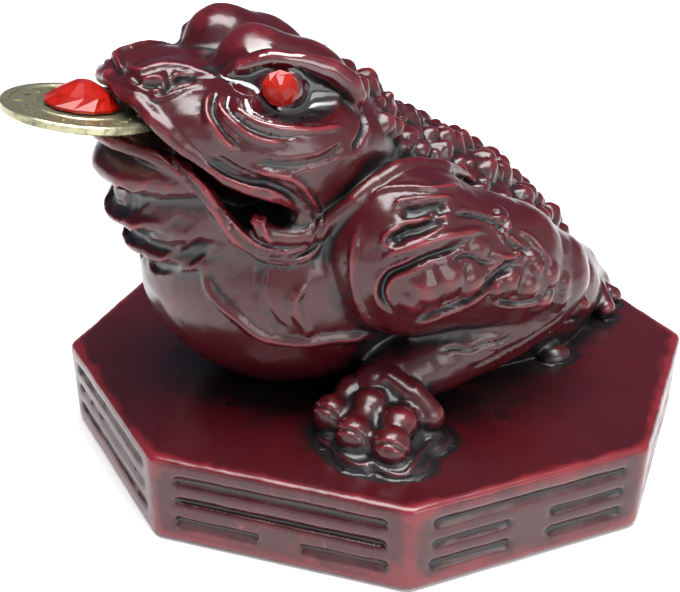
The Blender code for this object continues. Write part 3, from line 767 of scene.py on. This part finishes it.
class Value:
    """A value in a node tree, so that sums are written with the usual signs."""

    def __init__(self, owner, socket):
        self.owner = owner
        self.socket = socket

    def maths(self, operation, *values):
        return self.owner.node("ShaderNodeMath", 0, {"operation": operation}, dict(enumerate(values)))

    def __add__(self, other):
        return self.maths("ADD", self, other)

    def __radd__(self, other):
        return self.maths("ADD", other, self)

    def __sub__(self, other):
        return self.maths("SUBTRACT", self, other)

    def __rsub__(self, other):
        return self.maths("SUBTRACT", other, self)

    def __mul__(self, other):
        return self.maths("MULTIPLY", self, other)

    def __rmul__(self, other):
        return self.maths("MULTIPLY", other, self)

    def __truediv__(self, other):
        return self.maths("DIVIDE", self, other)

    def __pow__(self, other):
        return self.maths("POWER", self, other)

    def clamped(self):
        settings = {"operation": "ADD", "use_clamp": True}
        return self.owner.node("ShaderNodeMath", 0, settings, {0: self, 1: 0.0})


class NodeTree:
    """The nodes of a material or a world, and the ones used again and again."""

    def __init__(self, tree):
        self.tree = tree

    def plug(self, socket, value):
        if isinstance(value, Value):
            self.tree.links.new(value.socket, socket)
        else:
            socket.default_value = value

    def node(self, kind, output=0, settings=None, inputs=None):
        """Adds a node, sets it up and gives one of its outputs."""
        made = self.tree.nodes.new(kind)
        for name, value in (settings or {}).items():
            setattr(made, name, value)
        for name, value in (inputs or {}).items():
            self.plug(made.inputs[name], value)
        return Value(self, made.outputs[output])

    def place(self):
        return self.node("ShaderNodeTexCoord", "Object")

    def mark(self, name):
        return self.node("ShaderNodeAttribute", "Fac", {"attribute_name": name})

    def cloud(self, scale, detail=4.0, roughness=0.55):
        inputs = {"Vector": self.place(), "Scale": scale, "Detail": detail, "Roughness": roughness}
        return self.node("ShaderNodeTexNoise", 0, None, inputs)

    def step(self, value, low, high):
        """Goes from 0 to 1 as the value goes from low to high."""
        inputs = {"Value": value, "From Min": low, "From Max": high}
        return self.node("ShaderNodeMapRange", 0, {"interpolation_type": "SMOOTHSTEP"}, inputs)

    def blend(self, share, first, second):
        """One colour going over into another."""
        inputs = {0: share, 6: first, 7: second}
        return self.node("ShaderNodeMix", 2, {"data_type": "RGBA"}, inputs)


class Finish(NodeTree):
    """A material made of nodes."""

    def __init__(self, name):
        self.material = bpy.data.materials.new(name)
        self.material.use_nodes = True
        super().__init__(self.material.node_tree)
        self.shader = self.tree.nodes["Principled BSDF"]

    def finished(self, values, bump=None):
        """Sets the shader's inputs, and the bump as a height and its depth in millimetres."""
        for name, value in values.items():
            self.plug(self.shader.inputs[name], value)
        if bump:
            inputs = {"Height": bump[0], "Distance": bump[1] * MM}
            self.plug(self.shader.inputs["Normal"], self.node("ShaderNodeBump", 0, None, inputs))
        return self.material


def colour(red, green, blue):
    return (red, green, blue, 1)


def cherry_resin():
    """Dark red resin with black left in the hollows and painted shade darkening it under and between parts,
    rubbed bright on the ridges but not in shade, and glue round the eyes.
    """
    finish = Finish("cherry resin")
    hollow = finish.mark("hollow")
    shade = finish.mark("shade")
    glue = finish.mark("glue")
    patch = finish.cloud(90, 5)
    fine = finish.cloud(900, 6, 0.65)
    # Black: the wash kept in the hollows, and painted shade where the shade mark is high.
    wash_and_shade = finish.step(hollow + 1.1 * (shade - 0.2) + 0.5 * (patch - 0.5), 0.0, 0.62)
    # Ridges rubbed bright red, kept off places of painted shade.
    rubbed_out_of_shade = finish.step(0.9 * (patch - 0.5) - hollow - 0.4 * shade, 0.40, 1.3)
    base = finish.blend(patch, colour(0.026, 0.0022, 0.0040), colour(0.052, 0.0030, 0.0052))
    base = finish.blend(rubbed_out_of_shade * 0.8, base, colour(0.16, 0.012, 0.018))
    base = finish.blend(wash_and_shade * 0.95, base, colour(0.0035, 0.003, 0.004))
    rough = 0.24 + 0.12 * (fine - 0.5) + 0.10 * wash_and_shade - 0.2 * glue
    height = fine * 0.5 + finish.cloud(260, 3) * 0.8
    values = {"Base Color": base, "Roughness": rough, "Coat Weight": 0.9 * glue, "Coat Roughness": 0.05}
    return finish.finished(values, bump=(height * (1.0 - 0.8 * glue), 0.05))


def aged_brass():
    finish = Finish("aged brass")
    patch = finish.cloud(240, 6, 0.65)
    fine = finish.cloud(1500, 4)
    dirt = finish.step(patch + 0.5 * (fine - 0.5), 0.38, 0.66)
    base = finish.blend(dirt, colour(0.42, 0.40, 0.25), colour(0.15, 0.15, 0.10))
    values = {"Base Color": base, "Metallic": 0.9, "Roughness": 0.28 + 0.3 * dirt}
    return finish.finished(values, bump=(fine + patch, 0.05))


def red_glass(name):
    finish = Finish(name)
    cloud = finish.cloud(500, 2)
    base = finish.blend(cloud, colour(0.16, 0.0006, 0.003), colour(0.34, 0.012, 0.003))
    values = {"Base Color": base, "Roughness": 0.14 + 0.08 * cloud, "Specular IOR Level": 0.3}
    return finish.finished(values)


def floor_finish():
    finish = Finish("pale floor")
    cloud = finish.cloud(30, 3)
    base = finish.blend(cloud, colour(0.88, 0.88, 0.88), colour(0.92, 0.92, 0.92))
    return finish.finished({"Base Color": base, "Roughness": 0.6})


def stone(across, height, facets):
    """A cut stone standing on its girdle: facets rising in two rows to a small flat top."""
    bm = bmesh.new()
    half = across / 2
    rows = ((half, 0), (half, 0.12 * height), (0.72 * half, 0.55 * height), (0.24 * half, height))
    rings = []
    for row, (radius, level) in enumerate(rows):
        turn = Matrix.Rotation(math.pi / facets * (row // 2), 4, "Z")
        place = Matrix.Translation((0, 0, level * MM)) @ turn
        ring = bmesh.ops.create_circle(bm, segments=facets, radius=radius * MM, matrix=place)["verts"]
        rings.append([edge for edge in bm.edges if all(vert in ring for vert in edge.verts)])
    for lower, upper in zip(rings, rings[1:]):
        bmesh.ops.bridge_loops(bm, edges=lower + upper)
    bmesh.ops.holes_fill(bm, edges=rings[0] + rings[-1], sides=facets)
    return bm


def coin_stone():
    bm = stone(COIN_STONE_ACROSS, COIN_STONE_HEIGHT, 12)
    pitch = Matrix.Rotation(math.radians(COIN_PITCH), 4, "X")
    seat = pitch @ Vector((0, 0, COIN_THICKNESS / 2 - 0.25 + CLEARANCE))
    bm.transform(Matrix.Translation((Vector(COIN_CENTRE) + seat) * MM) @ pitch)
    return new_object("coin_jewel", bm)


def eye_stone(name, side):
    bm = stone(EYE_STONE_ACROSS, EYE_STONE_HEIGHT, 10)
    looks = Vector((side * EYE_LOOKS[0], *EYE_LOOKS[1:])).normalized()
    centre = Vector((side * EYE_CENTRE[0], *EYE_CENTRE[1:]))
    turn = looks.to_track_quat("Z", "Y").to_matrix().to_4x4()
    bm.transform(Matrix.Translation(centre * MM) @ turn)
    return new_object(name, bm)


def add_coin_marks(bm, level):
    """A ring of shallow strokes that turn this way and that, between the coin's inner ring and its rim."""
    for mark in range(COIN_MARKS):
        angle = 2 * math.pi * (mark + 0.25 * math.sin(2.1 * mark)) / COIN_MARKS
        radius = COIN_MARKS_OUT + 0.45 * math.sin(1.7 * mark)
        long_side = 1.5 if mark % 3 else 0.9
        size = Matrix.Diagonal((long_side * MM, 0.4 * MM, 0.3 * MM, 1))
        turn = Matrix.Rotation(angle, 4, "Z") @ Matrix.Translation((radius * MM, 0, level * MM))
        lean = Matrix.Rotation(math.radians(35 * (mark % 4)), 4, "Z")
        bmesh.ops.create_cube(bm, size=1, matrix=turn @ lean @ size)


def coin():
    outer = COIN_ACROSS / 2
    half = COIN_THICKNESS / 2
    field = half - 0.25
    edge = 0.2
    ring = COIN_RING
    profile = [
        (0, field), (ring - 0.5, field), (ring - 0.3, field + 0.15), (ring + 0.3, field + 0.15),
        (ring + 0.5, field), (outer - COIN_RIM - 0.2, field), (outer - COIN_RIM + 0.1, half),
        (outer - edge, half), (outer, half - edge), (outer, edge - half), (outer - edge, -half),
        (outer - COIN_RIM + 0.1, -half), (outer - COIN_RIM - 0.2, -field), (0, -field),
    ]
    bm = bmesh.new()
    line = [bm.verts.new((radius * MM, 0, height * MM)) for radius, height in profile]
    edges = [bm.edges.new(pair) for pair in zip(line, line[1:])]
    bmesh.ops.spin(
        bm, geom=line + edges, cent=(0, 0, 0), axis=(0, 0, 1), dvec=(0, 0, 0),
        angle=2 * math.pi, steps=160, use_merge=True, use_duplicate=False,
    )
    bmesh.ops.remove_doubles(bm, verts=bm.verts, dist=1e-6)
    add_coin_marks(bm, field)
    pitch = Matrix.Rotation(math.radians(COIN_PITCH), 4, "X")
    bm.transform(Matrix.Translation(Vector(COIN_CENTRE) * MM) @ pitch)
    made = new_object("brass_coin", bm)
    made.data.shade_smooth()
    made.data.set_sharp_from_angle(angle=math.radians(35))
    return made


def area_light(name, place, aim, size, power, tint=(1, 1, 1)):
    light = bpy.data.lights.new(name, "AREA")
    light.shape = "RECTANGLE"
    light.size, light.size_y = size
    light.energy = power
    light.color = tint
    lamp = bpy.data.objects.new(name, light)
    lamp.location = place
    lamp.rotation_euler = (Vector(aim) - Vector(place)).to_track_quat("-Z", "Y").to_euler()
    bpy.context.scene.collection.objects.link(lamp)


def studio_light():
    """A pale room on the camera's side and low all round, and a dark wall high behind the toad."""
    world = bpy.data.worlds.new("studio")
    world.use_nodes = True
    tree = world.node_tree
    room = NodeTree(tree)
    heading = room.node("ShaderNodeTexCoord", "Generated")
    dot = {"operation": "DOT_PRODUCT"}
    facing = room.node("ShaderNodeVectorMath", "Value", dot, {0: heading, 1: PALE_SIDE})
    height = room.node("ShaderNodeSeparateXYZ", "Z", None, {"Vector": heading})
    pale = (room.step(facing, -0.1, 0.8) + 0.35 * (1.0 - room.step(height, 0.02, 0.12))).clamped()
    room.plug(tree.nodes["Background"].inputs["Color"], room.blend(pale, DARK_WALL, PALE_WALL))
    room.plug(tree.nodes["Background"].inputs["Strength"], 1.0)
    bpy.context.scene.world = world
    for name, place, size, power in LAMPS:
        area_light(name, place, (0, 0, 0.04), size, power)


def camera():
    data = bpy.data.cameras.new("camera")
    data.lens = LENS
    data.sensor_width = SENSOR
    data.clip_start = 0.01
    right, up = unit(CAMERA_RIGHT), unit(CAMERA_UP)
    back = np.cross(right, up)
    turn = Matrix((right, up, back)).transposed()
    made = bpy.data.objects.new("camera", data)
    made.matrix_world = Matrix.Translation(Vector(CAMERA_PLACE) * MM) @ turn.to_4x4()
    bpy.context.scene.collection.objects.link(made)
    bpy.context.scene.camera = made


def studio_floor():
    bm = bmesh.new()
    bmesh.ops.create_grid(bm, x_segments=1, y_segments=1, size=4)
    made = new_object("studio_floor", bm)
    made.location.z = -0.0002
    made.data.materials.append(floor_finish())


def show(piece, node, finish):
    """Puts a piece in place of a node, with its finish."""
    piece.data.materials.clear()
    piece.data.materials.append(finish)
    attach(piece, "root")
    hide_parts(node)


def main():
    show(casting(), "toad_casting", cherry_resin())
    show(coin(), "coin", aged_brass())
    glass = red_glass("red glass")
    show(coin_stone(), "coin_gem", glass)
    show(eye_stone("eye_jewel_left", 1), "eye_gem_left", glass)
    show(eye_stone("eye_jewel_right", -1), "eye_gem_right", glass)
    studio_floor()
    camera()
    studio_light()
    bpy.context.scene.view_settings.view_transform = "Standard"


main()
